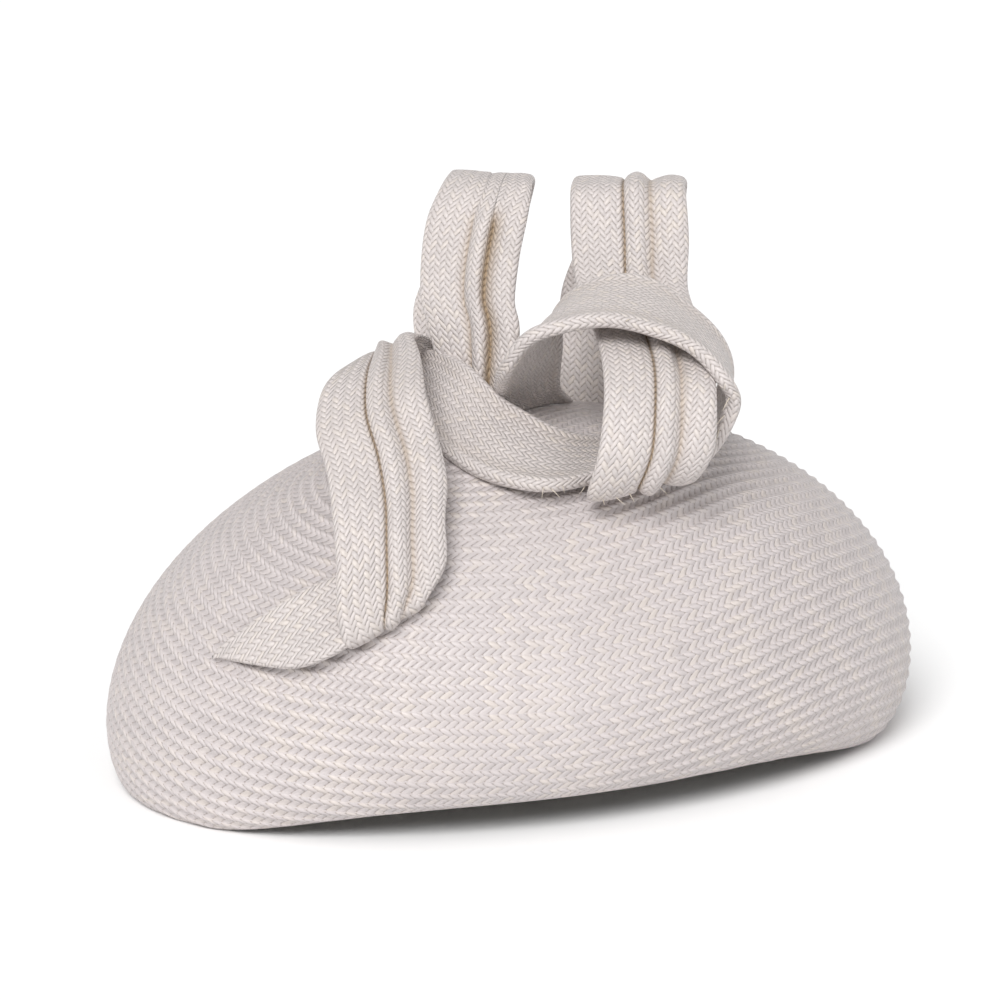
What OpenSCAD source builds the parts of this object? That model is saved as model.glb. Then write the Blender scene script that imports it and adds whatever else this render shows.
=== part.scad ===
// Sculpted straw fascinator headpiece: an oval blocked crown with folded straw loops.
// Frame: +X along the crown's long axis, +Y towards the plain long side, +Z up.
// Origin: centre of the bounding box, on the surface that the rim stands on.

/* [Crown] */
// Length of the crown, along X (mm)
crown_length = 228; // [216:2:240]
// Width of the crown, along Y (mm)
crown_width = 144; // [136:2:152]
// Height of the crown above the surface it stands on (mm)
crown_height = 96; // [92:1:100]
// Height of the widest line above the rim (mm)
waist_height = 19; // [16:1:22]
// How far the rim turns in under the widest line (mm)
rim_turn_in = 9; // [7:1:11]
// How far the rim lifts along the two long sides (mm)
rim_arch = 9; // [5:1:12]
// Depth of the soft hollow in the front of the crown (mm)
front_hollow = 5; // [2:1:6]

/* [Layers] */
// Thickness of the woven straw (mm)
straw_wall = 1.6; // [1.2:0.1:1.8]
// Thickness of the stiff foundation cloth (mm)
foundation_wall = 0.8; // [0.6:0.1:0.9]
// Thickness of the satin lining (mm)
lining_wall = 0.6; // [0.4:0.1:0.7]
// Thickness of the grosgrain band (mm)
band_wall = 0.8; // [0.6:0.1:1.0]

/* [Straps] */
// Thickness of a folded straw strap along its middle (mm)
strap_thick = 2.8; // [2.2:0.1:3.0]
// Diameter of the wire inside a strap (mm)
strap_wire_d = 1; // [0.8:0.1:1.2]

/* [Comb] */
// Length of the comb's bar (mm)
comb_length = 66; // [60:2:70]
// Diameter of the comb's bar (mm)
comb_bar_d = 1.8; // [1.6:0.1:2.0]
// Diameter of a comb tooth (mm)
tooth_d = 1.2; // [1.0:0.1:1.3]
// Distance between two teeth (mm)
tooth_pitch = 4; // [4:0.1:4.2]
// Angle that a tooth bends through along its length (degrees)
tooth_bend = 24; // [18:1:26]

/* [View] */
// Part to draw: one sub-part's name, or all

/* [Hidden] */
half_l = crown_length / 2;
half_w = crown_width / 2;
waist_end_rise = 2;     // the widest line is this much higher at the +X end
turn_in_end = 3;        // extra turn-in at the +X end, and less at the -X end
egg = -0.04;            // the +X end is a little narrower
rim_flat = 0.44;        // share of each end that stays flat on the table
top_shift = 2;          // the top leans this far towards +X
shoulder = 1.05;        // power of the shoulder curve
hollow_at = [18, 64];   // centre of the front hollow, X and Z
hollow_half = [30, 16]; // half sizes of the front hollow, X and Z
hollow_floor = 30;      // the hollow has faded out at this height
hollow_fade = 20;       // and is full this much higher
layer_gap = 0.3;        // gap between two sewn layers

foundation_out = straw_wall + layer_gap;
foundation_in = foundation_out + foundation_wall;
lining_out = foundation_in + layer_gap;
lining_in = lining_out + lining_wall;
band_out = lining_in + layer_gap;
band_in = band_out + band_wall;

ring_steps = 48;
strap_steps = 4;        // rings between two stations of a strap

// Places along the crown's section: 0 top, 90 widest line, 180 rim edge
straw_rows = [12, 24, 36, 46, 56, 66, 76, 84, 90, 110, 130, 150, 165, 180];
foundation_rows = [12, 24, 36, 46, 56, 66, 76, 84, 90, 110, 130];
lining_rows = [12, 24, 36, 46, 56, 66, 76, 84, 90, 110, 125];
band_rows = [84, 90, 100, 110];
label_rows = [66, 76];
label_turns = [247.5, 255, 262.5, 270, 277.5];

binding_low = 0.4;      // lower edge of the turned-up straw hem, above the rim
binding_high = 10.7;    // its upper edge
binding_gap = 1.9;      // the hem stands this far inside the lining
binding_wall = 0.9;
edge_wire_r = 0.7;
edge_wire_up = 2.5;     // height of the wire's centre above the rim
joiner_r = 1.1;
joiner_l = 16;

comb_y = half_w - 10.5; // axis of the comb's bar
comb_z = rim_arch + 19;
comb_teeth_n = 15;
tooth_arc_r = 100;      // the teeth follow a circle of this radius
tooth_lean = 9;         // a tooth starts at this angle inward of upright
wrap_major = comb_bar_d / 2 + 0.3;
wrap_minor = 0.4;
loop_minor = 0.4;
loop_slots = [-6, -3, 0, 3, 6]; // tooth gaps that hold a thread loop

thread_r = 0.35;
stitch_l = 3.2;
tack_l = 5;

// Every strap: pairs of points on its left and right edges
root_edges = [
    [[-94, -30, 47], [-94, -30, 46]],
    [[-86, -34, 55], [-88, -41, 47]],
    [[-74, -39, 64], [-79, -51, 48]],
    [[-66, -41, 68], [-71, -56, 52]],
    [[-60, -43, 70], [-64, -57, 56]]
];
drape_edges = [
    [[-62, -53, 57], [-50, -54, 64]],
    [[-67, -56, 54], [-46, -57, 65]],
    [[-69, -55, 62], [-40, -56, 73]],
    [[-68, -52, 73], [-38, -50, 83]],
    [[-66, -43, 84], [-35, -43, 91]],
    [[-64, -32, 93], [-34, -34, 99]],
    [[-63, -20, 101], [-34, -24, 109]],
    [[-58, -10, 109], [-30, -8, 115]],
    [[-49, -3, 112], [-25, 12, 116]],
    [[-40, 4, 108], [-17, 23, 112]],
    [[-31, 12, 100], [-9, 31, 103]],
    [[-24, 17, 93], [-5, 33, 90]]
];
ring_edges = [
    [[-19, 44, 82], [-32, 26, 90]],
    [[-17, 36, 98], [-31, 17, 98]],
    [[-17, 21, 108], [-31, 0, 99]],
    [[-14, 1, 109], [-28, -19, 92]],
    [[-8, -12, 102], [-22, -33, 89]],
    [[4, -22, 95], [-9, -44, 87]],
    [[20, -19, 90], [10, -43, 88]],
    [[36, -24, 93], [32, -48, 91]],
    [[46, -27, 100], [40, -52, 105]],
    [[49, -28, 111], [38, -53, 113]],
    [[45, -23, 121], [32, -47, 121]],
    [[33, -13, 131], [20, -39, 126]],
    [[19, -8, 131], [7, -34, 127]],
    [[10, -7, 124], [-7, -30, 124]],
    [[9, -6, 113], [-12, -22, 114]],
    [[12, 1, 102], [-10, -12, 106]],
    [[18, 8, 96], [-5, -4, 97]]
];
left_edges = [
    [[-18, 8, 97], [-6, -8, 97]],
    [[-19, 17, 116], [-1, -4, 118]],
    [[-20, 21, 124], [0, 2, 126]],
    [[-18, 26, 134], [3, 7, 136]],
    [[-15, 30, 144], [7, 12, 145]],
    [[-10, 35, 150], [10, 17, 151]],
    [[-4, 44, 152], [12, 21, 153]],
    [[-1, 51, 150], [16, 30, 151]],
    [[-3, 55, 139], [15, 35, 139]],
    [[-5, 55, 126], [13, 36, 127]],
    [[-12, 51, 112], [9, 32, 113]],
    [[-13, 34, 89], [6, 18, 95]]
];
right_edges = [
    [[12, -35, 84], [34, -37, 86]],
    [[1, -49, 85], [31, -52, 89]],
    [[2, -54, 97], [33, -58, 98]],
    [[6, -48, 110], [35, -54, 110]],
    [[10, -36, 118], [39, -42, 116]],
    [[14, -18, 123], [42, -26, 122]],
    [[17, 1, 129], [45, -10, 128]],
    [[19, 10, 139], [48, -3, 140]],
    [[21, 16, 149], [50, 4, 150]],
    [[24, 23, 151], [53, 12, 152]],
    [[28, 30, 150], [56, 18, 149]],
    [[31, 34, 135], [55, 21, 134]],
    [[24, 31, 118], [50, 17, 117]],
    [[18, 16, 92], [44, 3, 90]]
];

straw = [0.85, 0.82, 0.81];
cloth = [0.90, 0.88, 0.84];
satin = [0.93, 0.90, 0.85];
metal = [0.72, 0.72, 0.73];
thread = [0.88, 0.86, 0.82];

crown_straw();
crown_foundation();
lining();
rim_binding();
edge_wire();
wire_joiner();
petersham_band();
label_blank();
binding_stitches();
band_stitches();
lining_stitches();
drape_root();
drape_strap();
ring_strap();
left_loop();
right_loop();
drape_wire();
ring_wire();
left_loop_wire();
right_loop_wire();
strap_tacks();
comb_loops();
comb_bar();
comb_teeth();
comb_wrap();

// ---- The crown's surface ----

// A soft step from 0 to 1
function ease(x) =
    let (c = min(1, max(0, x)))
    c * c * (3 - 2 * c);

// Height of the rim's edge at a turn angle: flat at both ends, arched along the sides
function rim_z(turn) = rim_arch * ease((abs(sin(turn)) - rim_flat) / (1 - rim_flat));

function turn_in(turn) = rim_turn_in + turn_in_end * cos(turn);

function waist(turn) = waist_height + waist_end_rise * cos(turn);

// The hollow pushes the front wall inwards, fading out around its centre
function hollow(p) =
    let (dx = (p[0] - hollow_at[0]) / hollow_half[0],
        dz = (p[2] - hollow_at[1]) / hollow_half[1],
        fade = ease((p[2] - hollow_floor) / hollow_fade),
        push = fade * front_hollow * exp(-(dx * dx + dz * dz) / 2))
    p[1] < 0 ? [p[0], min(p[1] + push, -0.01), p[2]] : p;

// A point of the dome above the widest line
function dome_pt(turn, drop, off) =
    let (r = sin(drop),
        rise = pow(max(cos(drop), 0), shoulder),
        w = waist(turn))
    [(half_l - off) * cos(turn) * r + top_shift * rise,
        (half_w - off) * (1 + egg * cos(turn)) * sin(turn) * r,
        rim_z(turn) * (1 - rise) + w + (crown_height - off - w) * rise];

// A point of the rounded edge below the widest line
function edge_pt(turn, sweep, off) =
    let (inset = off + turn_in(turn) * (1 - cos(sweep)))
    [(half_l - inset) * cos(turn),
        (half_w - inset) * (1 + egg * cos(turn)) * sin(turn),
        rim_z(turn) + waist(turn) * (1 - sin(sweep))];

// A point of the crown, off below its outer face
function crown_pt(turn, row, off) =
    row <= 90 ? hollow(dome_pt(turn, row, off)) : hollow(edge_pt(turn, row - 90, off));

// A point inside the rim: inset from the widest line, and up from the rim's edge
function inner_pt(turn, inset, up) =
    [(half_l - inset) * cos(turn),
        (half_w - inset) * (1 + egg * cos(turn)) * sin(turn),
        rim_z(turn) + up];

function turns(n) = [for (i = [0:n - 1]) 360 * i / n];

// ---- Closed surfaces ----

// Flatten a list of rows into one list of points
function flat_list(rows) = [for (row = rows) for (p = row) p];

// Two triangles for each cell of a grid whose rows are closed loops
function loop_cells(n_rows, k, close) =
    [for (i = [0:n_rows - (close ? 1 : 2)]) for (j = [0:k - 1])
        let (a = i * k + j,
            b = i * k + (j + 1) % k,
            c = ((i + 1) % n_rows) * k + (j + 1) % k,
            d = ((i + 1) % n_rows) * k + j)
        each [[a, b, c], [a, c, d]]];

// A ring: loops joined one to the next, and the last to the first
module ring_solid(rows) {
    k = len(rows[0]);
    polyhedron(flat_list(rows), loop_cells(len(rows), k, true), convexity = 8);
}

// A strip: loops joined one to the next, with flat ends
module strip_solid(rows) {
    k = len(rows[0]);
    n = len(rows);
    start = [for (j = [1:k - 2]) [0, j + 1, j]];
    end = [for (j = [1:k - 2]) [(n - 1) * k, (n - 1) * k + j, (n - 1) * k + j + 1]];
    polyhedron(flat_list(rows), concat(loop_cells(n, k, false), start, end), convexity = 8);
}

// A cap: loops between an outer pole and an inner pole
module cap_solid(rows, outer_pole, inner_pole) {
    k = len(rows[0]);
    n = len(rows);
    top = n * k;
    near = [for (j = [0:k - 1]) [top, (j + 1) % k, j]];
    far = [for (j = [0:k - 1]) [top + 1, (n - 1) * k + j, (n - 1) * k + (j + 1) % k]];
    polyhedron(concat(flat_list(rows), [outer_pole, inner_pole]),
        concat(loop_cells(n, k, false), near, far), convexity = 8);
}

// One layer of the crown, from its outer to its inner offset
module crown_layer(out, in, rows) {
    down = [for (row = rows) [for (turn = turns(ring_steps)) crown_pt(turn, row, out)]];
    up = [for (i = [len(rows) - 1:-1:0])
        [for (turn = turns(ring_steps)) crown_pt(turn, rows[i], in)]];
    cap_solid(concat(down, up), crown_pt(0, 0, out), crown_pt(0, 0, in));
}

// A band round the inside of the crown
module crown_band(out, in, rows) {
    ring_solid([for (turn = turns(ring_steps)) concat(
        [for (i = [len(rows) - 1:-1:0]) crown_pt(turn, rows[i], out)],
        [for (row = rows) crown_pt(turn, row, in)])]);
}

// ---- Straps ----

// A point on a smooth curve through four points
function curve(a, b, c, d, t) =
    0.5 * (2 * b + (c - a) * t + (2 * a - 5 * b + 4 * c - d) * t * t
        + (3 * b - a - 3 * c + d) * t * t * t);

// A smooth path through all the points of a list
function path(p) =
    let (n = len(p))
    concat([for (i = [0:n - 2]) for (j = [0:strap_steps - 1])
        curve(i > 0 ? p[i - 1] : 2 * p[0] - p[1], p[i], p[i + 1],
            i < n - 2 ? p[i + 2] : 2 * p[n - 1] - p[n - 2], j / strap_steps)],
        [p[n - 1]]);

function unit(v) = v / max(norm(v), 0.001);

// The straps follow the crown when its size changes
function place(p) = [p[0] * crown_length / 228, p[1] * crown_width / 144, p[2] * crown_height / 96];

function side(edges, k) = path([for (e = edges) place(e[k])]);

// Across, along and outward directions at one ring of a strap
function heading(mid, i) = unit(mid[min(i + 1, len(mid) - 1)] - mid[max(i - 1, 0)]);

// A strap: thick along the middle, thinner at its folded edges
module strap(edges) {
    left = side(edges, 0);
    right = side(edges, 1);
    mid = (left + right) / 2;
    half = strap_thick / 2;
    edge = 0.8;
    strip_solid([for (i = [0:len(mid) - 1])
        let (n = unit(cross(right[i] - left[i], heading(mid, i))))
        [left[i] - edge * n, left[i] + edge * n, mid[i] + half * n,
            right[i] + edge * n, right[i] - edge * n, mid[i] - half * n]]);
}

// The wire inside a strap, between two of its rings
module strap_wire(edges, skip) {
    left = side(edges, 0);
    right = side(edges, 1);
    mid = (left + right) / 2;
    r = strap_wire_d / 2;
    strip_solid([for (i = [skip:len(mid) - 1 - skip])
        let (a = unit(right[i] - left[i]),
            n = unit(cross(a, heading(mid, i))))
        [for (k = [0:5]) mid[i] + r * (cos(60 * k) * n - sin(60 * k) * a)]]);
}

// ---- Sub-parts ----

module crown_straw() color(straw) crown_layer(0, straw_wall, straw_rows);

module crown_foundation() color(cloth)
    crown_layer(foundation_out, foundation_in, foundation_rows);

module lining() color(satin) crown_layer(lining_out, lining_in, lining_rows);

// The straw's edge, turned up inside the rim
module rim_binding() color(straw) ring_solid([for (turn = turns(ring_steps))
    let (low = turn_in(turn) + straw_wall + 0.3,
        high = lining_in + binding_gap)
    [inner_pt(turn, high, binding_high), inner_pt(turn, low, binding_low),
        inner_pt(turn, low + binding_wall, binding_low),
        inner_pt(turn, high + binding_wall, binding_high)]]);

// The wire that holds the rim's shape
module edge_wire() color(metal) ring_solid([for (turn = turns(ring_steps))
    let (inset = 0.9 * turn_in(turn) + 0.4)
    [for (k = [0:5]) inner_pt(turn, inset - edge_wire_r * cos(60 * k),
        edge_wire_up + edge_wire_r * sin(60 * k))]]);

// The tube that joins the wire's two ends, on the plain long side
module wire_joiner() color(metal)
    translate([-joiner_l / 2, half_w - 0.9 * rim_turn_in - 0.4, rim_arch + edge_wire_up])
        rotate([0, 90, 0])
            cylinder(r = joiner_r, h = joiner_l, $fn = 24);

// The grosgrain band that covers the lining's lower edge
module petersham_band() color(cloth) crown_band(band_out, band_in, band_rows);

// A plain satin label, sewn to the lining
module label_blank() color(satin) strip_solid([for (turn = label_turns) concat(
    [for (i = [len(label_rows) - 1:-1:0]) crown_pt(turn, label_rows[i], lining_in + 0.2)],
    [for (row = label_rows) crown_pt(turn, row, lining_in + 0.6)])]);

// Short stitches along a line inside the crown
module stitch_line(count, row, off, length) {
    for (turn = turns(count)) {
        p = crown_pt(turn, row, off);
        q = crown_pt(turn + 1, row, off);
        translate(p)
            rotate([0, 0, atan2(q[1] - p[1], q[0] - p[0])])
                rotate([0, 90, 0])
                    cylinder(r = thread_r, h = length, center = true, $fn = 16);
    }
}

// Slip stitches that hold the straw hem's upper edge
module binding_stitches() color(thread) for (turn = turns(56)) {
    p = inner_pt(turn, lining_in + binding_gap + binding_wall, binding_high - 1);
    q = inner_pt(turn + 1, lining_in + binding_gap + binding_wall, binding_high - 1);
    translate(p)
        rotate([0, 0, atan2(q[1] - p[1], q[0] - p[0])])
            rotate([0, 90, 0])
                cylinder(r = thread_r, h = stitch_l, center = true, $fn = 16);
}

// Stitches along the band's upper edge
module band_stitches() color(thread) stitch_line(72, 85.5, band_in, stitch_l);

// The stitches at the label's two short ends
module lining_stitches() color(thread) for (turn = [248.5, 276.5]) for (row = [68, 71, 74]) {
    translate(crown_pt(turn, row, lining_in + 0.6))
        sphere(r = 0.5, $fn = 24);
}

module drape_root() color(straw) strap(root_edges);

module drape_strap() color(straw) strap(drape_edges);

module ring_strap() color(straw) strap(ring_edges);

module left_loop() color(straw) strap(left_edges);

module right_loop() color(straw) strap(right_edges);

module drape_wire() color(metal) strap_wire(drape_edges, 4);

module ring_wire() color(metal) strap_wire(ring_edges, 4);

module left_loop_wire() color(metal) strap_wire(left_edges, 2);

module right_loop_wire() color(metal) strap_wire(right_edges, 4);

// Thread tacks that hold the strap ends down on the crown
module strap_tacks() color(thread)
    for (p = [[-58, -52, 60], [-20, 26, 91], [-26, 36, 85], [-6, -3, 96], [-4, 26, 91],
        [22, -36, 84], [32, 8, 93], [6, 2, 96]])
        translate(place(p))
            cylinder(r = thread_r, h = tack_l, center = true, $fn = 16);

// Thread loops that hold the comb's bar against the band; the bar turns in them
module comb_loops() color(thread) for (slot = loop_slots) {
    x = (slot + 0.5) * tooth_pitch;
    turn = acos(x / (half_l - band_in));
    wall_y = crown_pt(turn, 90, band_in)[1];
    near_y = comb_y - comb_bar_d / 2 - 0.9 - loop_minor;
    far_y = wall_y + 0.2;
    translate([x, (near_y + far_y) / 2, comb_z])
        rotate([0, 90, 0])
            rotate_extrude($fn = 48)
                translate([(far_y - near_y) / 2, 0])
                    circle(r = loop_minor, $fn = 16);
}

module comb_bar() color(metal) translate([0, comb_y, comb_z]) {
    rotate([0, 90, 0])
        cylinder(d = comb_bar_d, h = comb_length, center = true, $fn = 32);
    for (s = [-1, 1])
        translate([s * comb_length / 2, 0, 0])
            sphere(r = comb_bar_d / 2 + 0.3, $fn = 32);
}

// Bent teeth with round tips, following the lining
module comb_teeth() color(metal)
    for (i = [0:comb_teeth_n - 1])
        translate([(i - (comb_teeth_n - 1) / 2) * tooth_pitch, comb_y, comb_z])
            rotate([tooth_lean, 0, 0])
                translate([0, -tooth_arc_r, 0])
                    rotate([90, 0, 90]) {
                        rotate_extrude(angle = tooth_bend, $fn = 120)
                            translate([tooth_arc_r, 0])
                                circle(d = tooth_d, $fn = 24);
                        rotate([0, 0, tooth_bend])
                            translate([tooth_arc_r, 0, 0])
                                sphere(d = tooth_d + 0.2, $fn = 24);
                    }

// The fine wire that binds the teeth to the bar, two turns in each free gap
module comb_wrap() color(metal)
    for (i = [0:comb_teeth_n - 2])
        if (len(search(i - (comb_teeth_n - 1) / 2 + 0.5, [for (s = loop_slots) s + 0.5])) == 0)
            for (s = [-1, 1])
                translate([(i - (comb_teeth_n - 1) / 2 + 0.5) * tooth_pitch + s * 0.6,
                    comb_y, comb_z])
                    rotate([0, 90, 0])
                        rotate_extrude($fn = 32)
                            translate([wrap_major, 0])
                                circle(r = wrap_minor, $fn = 16);
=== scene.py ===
import math

import bmesh
import bpy
import numpy as np
from mathutils import Matrix, Vector


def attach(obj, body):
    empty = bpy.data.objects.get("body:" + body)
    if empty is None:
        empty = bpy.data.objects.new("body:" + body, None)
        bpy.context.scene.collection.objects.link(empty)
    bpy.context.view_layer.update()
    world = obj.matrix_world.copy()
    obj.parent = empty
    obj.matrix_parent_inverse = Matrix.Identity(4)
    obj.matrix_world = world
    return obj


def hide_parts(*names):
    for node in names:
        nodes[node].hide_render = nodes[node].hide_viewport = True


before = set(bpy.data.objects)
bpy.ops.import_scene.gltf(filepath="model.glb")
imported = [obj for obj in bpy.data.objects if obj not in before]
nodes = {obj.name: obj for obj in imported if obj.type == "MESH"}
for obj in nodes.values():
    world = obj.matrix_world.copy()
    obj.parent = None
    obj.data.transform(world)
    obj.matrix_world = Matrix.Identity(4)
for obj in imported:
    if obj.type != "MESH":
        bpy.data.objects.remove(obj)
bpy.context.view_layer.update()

# ---------------------------------------------------------------------------
# Crown: an oval straw hood, damped, pulled over a wooden block and dried there.
# Its weave is a two-over two-under twill whose rows run round the crown as ribs,
# and its edge turns in under the widest line to the rim it stands on.
MM = 0.001
HALF_LENGTH = 114.0
HALF_WIDTH = 72.0
HEIGHT = 96.0
WAIST = 19.0
WAIST_END_RISE = 2.0
TURN_IN = 9.0
TURN_IN_END = 3.0
RIM_ARCH = 9.0
RIM_FLAT = 0.44
NARROWING = -0.04
TOP_SHIFT = 2.0
SHOULDER = 1.05
HOLLOW_DEPTH = 5.0
HOLLOW_AT = (18.0, 64.0)
HOLLOW_HALF = (30.0, 16.0)
HOLLOW_FLOOR = 30.0
HOLLOW_FADE = 20.0
STRAW_WALL = 1.6


def ease(x):
    """A soft step from 0 to 1."""
    c = np.clip(x, 0, 1)
    return c * c * (3 - 2 * c)


def rim_height(turn):
    """The rim is flat at both ends and arched along the sides."""
    return RIM_ARCH * ease((np.abs(np.sin(turn)) - RIM_FLAT) / (1 - RIM_FLAT))


def crown_point(turn, row, depth):
    """A point of the crown in mm. Row 0 is the top, 90 the widest line, 180 the rim's edge."""
    waist = WAIST + WAIST_END_RISE * np.cos(turn)
    rim = rim_height(turn)
    narrow = 1 + NARROWING * np.cos(turn)
    drop = np.radians(np.minimum(row, 90))
    sweep = np.radians(np.maximum(row - 90, 0))
    rise = np.maximum(np.cos(drop), 0) ** SHOULDER
    inset = depth + (TURN_IN + TURN_IN_END * np.cos(turn)) * (1 - np.cos(sweep))
    above = row <= 90
    rise = np.where(above, rise, 0)
    reach = np.where(above, np.sin(drop), 1)
    x = (HALF_LENGTH - inset) * np.cos(turn) * reach + TOP_SHIFT * rise
    y = (HALF_WIDTH - inset) * narrow * np.sin(turn) * reach
    z = rim * (1 - rise) + waist * (1 - np.sin(sweep)) + (HEIGHT - depth - waist) * rise
    dx = (x - HOLLOW_AT[0]) / HOLLOW_HALF[0]
    dz = (z - HOLLOW_AT[1]) / HOLLOW_HALF[1]
    push = HOLLOW_DEPTH * np.exp(-(dx * dx + dz * dz) / 2) * ease((z - HOLLOW_FLOOR) / HOLLOW_FADE)
    y = np.where(y < 0, np.minimum(y + push, -0.01), y)
    return np.stack([x, y, z], -1)


def shaped_grid(name, cells, place, pattern, fill=False):
    """A grid of cells, moved point by point onto place(s, t) in mm, with pattern(s, t) as its UV map."""
    bm = bmesh.new()
    bmesh.ops.create_grid(bm, x_segments=cells[0], y_segments=cells[1], size=0.5)
    mesh = bpy.data.meshes.new(name)
    bm.to_mesh(mesh)
    bm.free()
    raw = np.empty(len(mesh.vertices) * 3)
    mesh.vertices.foreach_get("co", raw)
    s, t = np.clip(raw[0::3] + 0.5, 0, 1), np.clip(raw[1::3] + 0.5, 0, 1)
    corner = np.empty(len(mesh.loops), dtype=np.int32)
    mesh.loops.foreach_get("vertex_index", corner)
    mesh.vertices.foreach_set("co", (place(s, t) * MM).ravel())
    mesh.uv_layers.new(name="UVMap")
    mesh.uv_layers["UVMap"].data.foreach_set("uv", pattern(s, t)[corner].ravel())
    bm = bmesh.new()
    bm.from_mesh(mesh)
    bmesh.ops.remove_doubles(bm, verts=bm.verts, dist=0.00001)
    if fill:
        bmesh.ops.holes_fill(bm, edges=[e for e in bm.edges if e.is_boundary], sides=0)
    bmesh.ops.recalc_face_normals(bm, faces=bm.faces)
    bm.to_mesh(mesh)
    bm.free()
    mesh.polygons.foreach_set("use_smooth", [True] * len(mesh.polygons))
    piece = bpy.data.objects.new(name, mesh)
    bpy.context.scene.collection.objects.link(piece)
    return piece


# The turn angle and the distance round the widest line, so that strands are spaced evenly
AROUND_STEPS = 720
turn_steps = np.linspace(0, 2 * math.pi, AROUND_STEPS + 1) + math.pi / 2
ellipse = np.stack([HALF_LENGTH * np.cos(turn_steps), HALF_WIDTH * np.sin(turn_steps)], -1)
round_step = np.linalg.norm(np.diff(ellipse, axis=0), axis=-1)
round_share = np.concatenate([[0], np.cumsum(round_step)]) / round_step.sum()


def turn_at(t):
    """Turn angle at a share of the way round, from the back, by the distance walked."""
    return np.interp(t, round_share, turn_steps)


# Distance down the crown from its top, by turn and row
LAST_ROW = 180
ROW_PARTS = 2
ROW_CELLS = LAST_ROW * ROW_PARTS
TURN_CELLS = 144
row_steps = np.linspace(0, LAST_ROW, ROW_CELLS + 1)
turn_table = np.linspace(0, 2 * math.pi, TURN_CELLS + 1)
walk = crown_point(*np.meshgrid(turn_table, row_steps), 0)
down_steps = np.linalg.norm(np.diff(walk, axis=0), axis=-1)
down_table = np.concatenate([np.zeros((1, TURN_CELLS + 1)), np.cumsum(down_steps, axis=0)])
mean_down = down_table.mean(axis=1)
ASKEW_ONCE = (10.1, -2.9)
ASKEW_TWICE = (12.6, 11.8)
ASKEW_FULL_AT = 50


def rib_place(turn, row):
    """Distance across the ribs in mm. The hood was pulled askew over the block, so a rib
    sits up to 26 mm lower or 24 mm higher than its distance from the top would put it."""
    spot_turn = (turn % (2 * math.pi)) / (2 * math.pi) * TURN_CELLS
    spot_row = np.clip(row, 0, LAST_ROW) * ROW_PARTS
    a, b = np.floor(spot_turn).astype(int), np.floor(spot_row).astype(int)
    a, b = np.minimum(a, TURN_CELLS - 1), np.minimum(b, ROW_CELLS - 1)
    fa, fb = spot_turn - a, spot_row - b
    down = (
        down_table[b, a] * (1 - fa) * (1 - fb) + down_table[b, a + 1] * fa * (1 - fb)
        + down_table[b + 1, a] * (1 - fa) * fb + down_table[b + 1, a + 1] * fa * fb
    )
    askew = (
        ASKEW_ONCE[0] * np.cos(turn) + ASKEW_ONCE[1] * np.sin(turn)
        + ASKEW_TWICE[0] * np.cos(2 * turn) + ASKEW_TWICE[1] * np.sin(2 * turn)
    )
    return down - np.minimum(1, down / ASKEW_FULL_AT) * askew


CROWN_STRAND = 1.5
CROWN_LEAN = math.radians(37)
RIB_RELIEF = 0.27
# A rib's crest lies this many strands past the start of its pair of strands
CREST_AT = 0.75
# The straw is pulled tightest at this turn, in degrees, and within this far to each side
TIGHT_AT = 258
TIGHT_SPREAD = 26
TIGHT_SHARE = 0.75
RIB_ROWS = (8, 176)
RIB_FADES = (20, 10)
CROWN_CELLS = (400, 232)
INNER_CELLS = 14
INNER_STEPS = 40
outer_share = 1 - INNER_CELLS / CROWN_CELLS[1]
crown_share = np.concatenate([
    np.linspace(0, outer_share, ROW_CELLS + 1), np.linspace(outer_share + 0.001, 1, INNER_STEPS),
])
crown_rows = np.concatenate([
    np.interp(np.linspace(0, mean_down[-1], ROW_CELLS + 1), mean_down, row_steps),
    np.linspace(LAST_ROW, 0, INNER_STEPS),
])
crown_depths = np.concatenate([np.zeros(ROW_CELLS + 1), np.full(INNER_STEPS, STRAW_WALL)])


def rib_share(turn):
    """How much of a rib's height is left, since the straw was pulled tight over the front."""
    return 1 - TIGHT_SHARE * np.exp(-(((np.degrees(turn) - TIGHT_AT) / TIGHT_SPREAD) ** 2))


def rib_strength(turn, row):
    """The ribs stand up at both ends and die out at the top and under the rim."""
    starts = ease((row - RIB_ROWS[0]) / RIB_FADES[0])
    return rib_share(turn) * starts * ease((RIB_ROWS[1] - row) / RIB_FADES[1])


def crown_place(s, t):
    turn = turn_at(s)
    row = np.interp(t, crown_share, crown_rows)
    depth = np.interp(t, crown_share, crown_depths)
    phase = rib_place(turn, row) * math.cos(CROWN_LEAN) / CROWN_STRAND
    relief = RIB_RELIEF * rib_strength(turn, row) * np.cos(math.pi * (phase - CREST_AT))
    relief = np.where(depth < 0.1, relief, 0)
    return crown_point(turn, row, depth - relief)


def crown_pattern(s, t):
    turn = turn_at(s)
    row = np.interp(t, crown_share, crown_rows)
    return np.stack([s, rib_place(turn, row)], -1)


crown = shaped_grid("straw_crown", CROWN_CELLS, crown_place, crown_pattern)


def point_values(piece, name, values):
    """Stores one number for each point of a piece."""
    piece.data.attributes.new(name, "FLOAT", "POINT").data.foreach_set("value", values)


crown_co = np.empty(len(crown.data.vertices) * 3)
crown.data.vertices.foreach_get("co", crown_co)
crown_co = crown_co.reshape(-1, 3) / MM
crown_turn = np.arctan2(crown_co[:, 1] / HALF_WIDTH, crown_co[:, 0] / HALF_LENGTH) % (2 * math.pi)
point_values(crown, "ribs", rib_share(crown_turn))


def linear(code):
    """An sRGB hex colour as linear RGBA."""
    parts = [int(code[k:k + 2], 16) / 255 for k in (1, 3, 5)]
    return [c / 12.92 if c <= 0.04045 else ((c + 0.055) / 1.055) ** 2.4 for c in parts] + [1]


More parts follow.
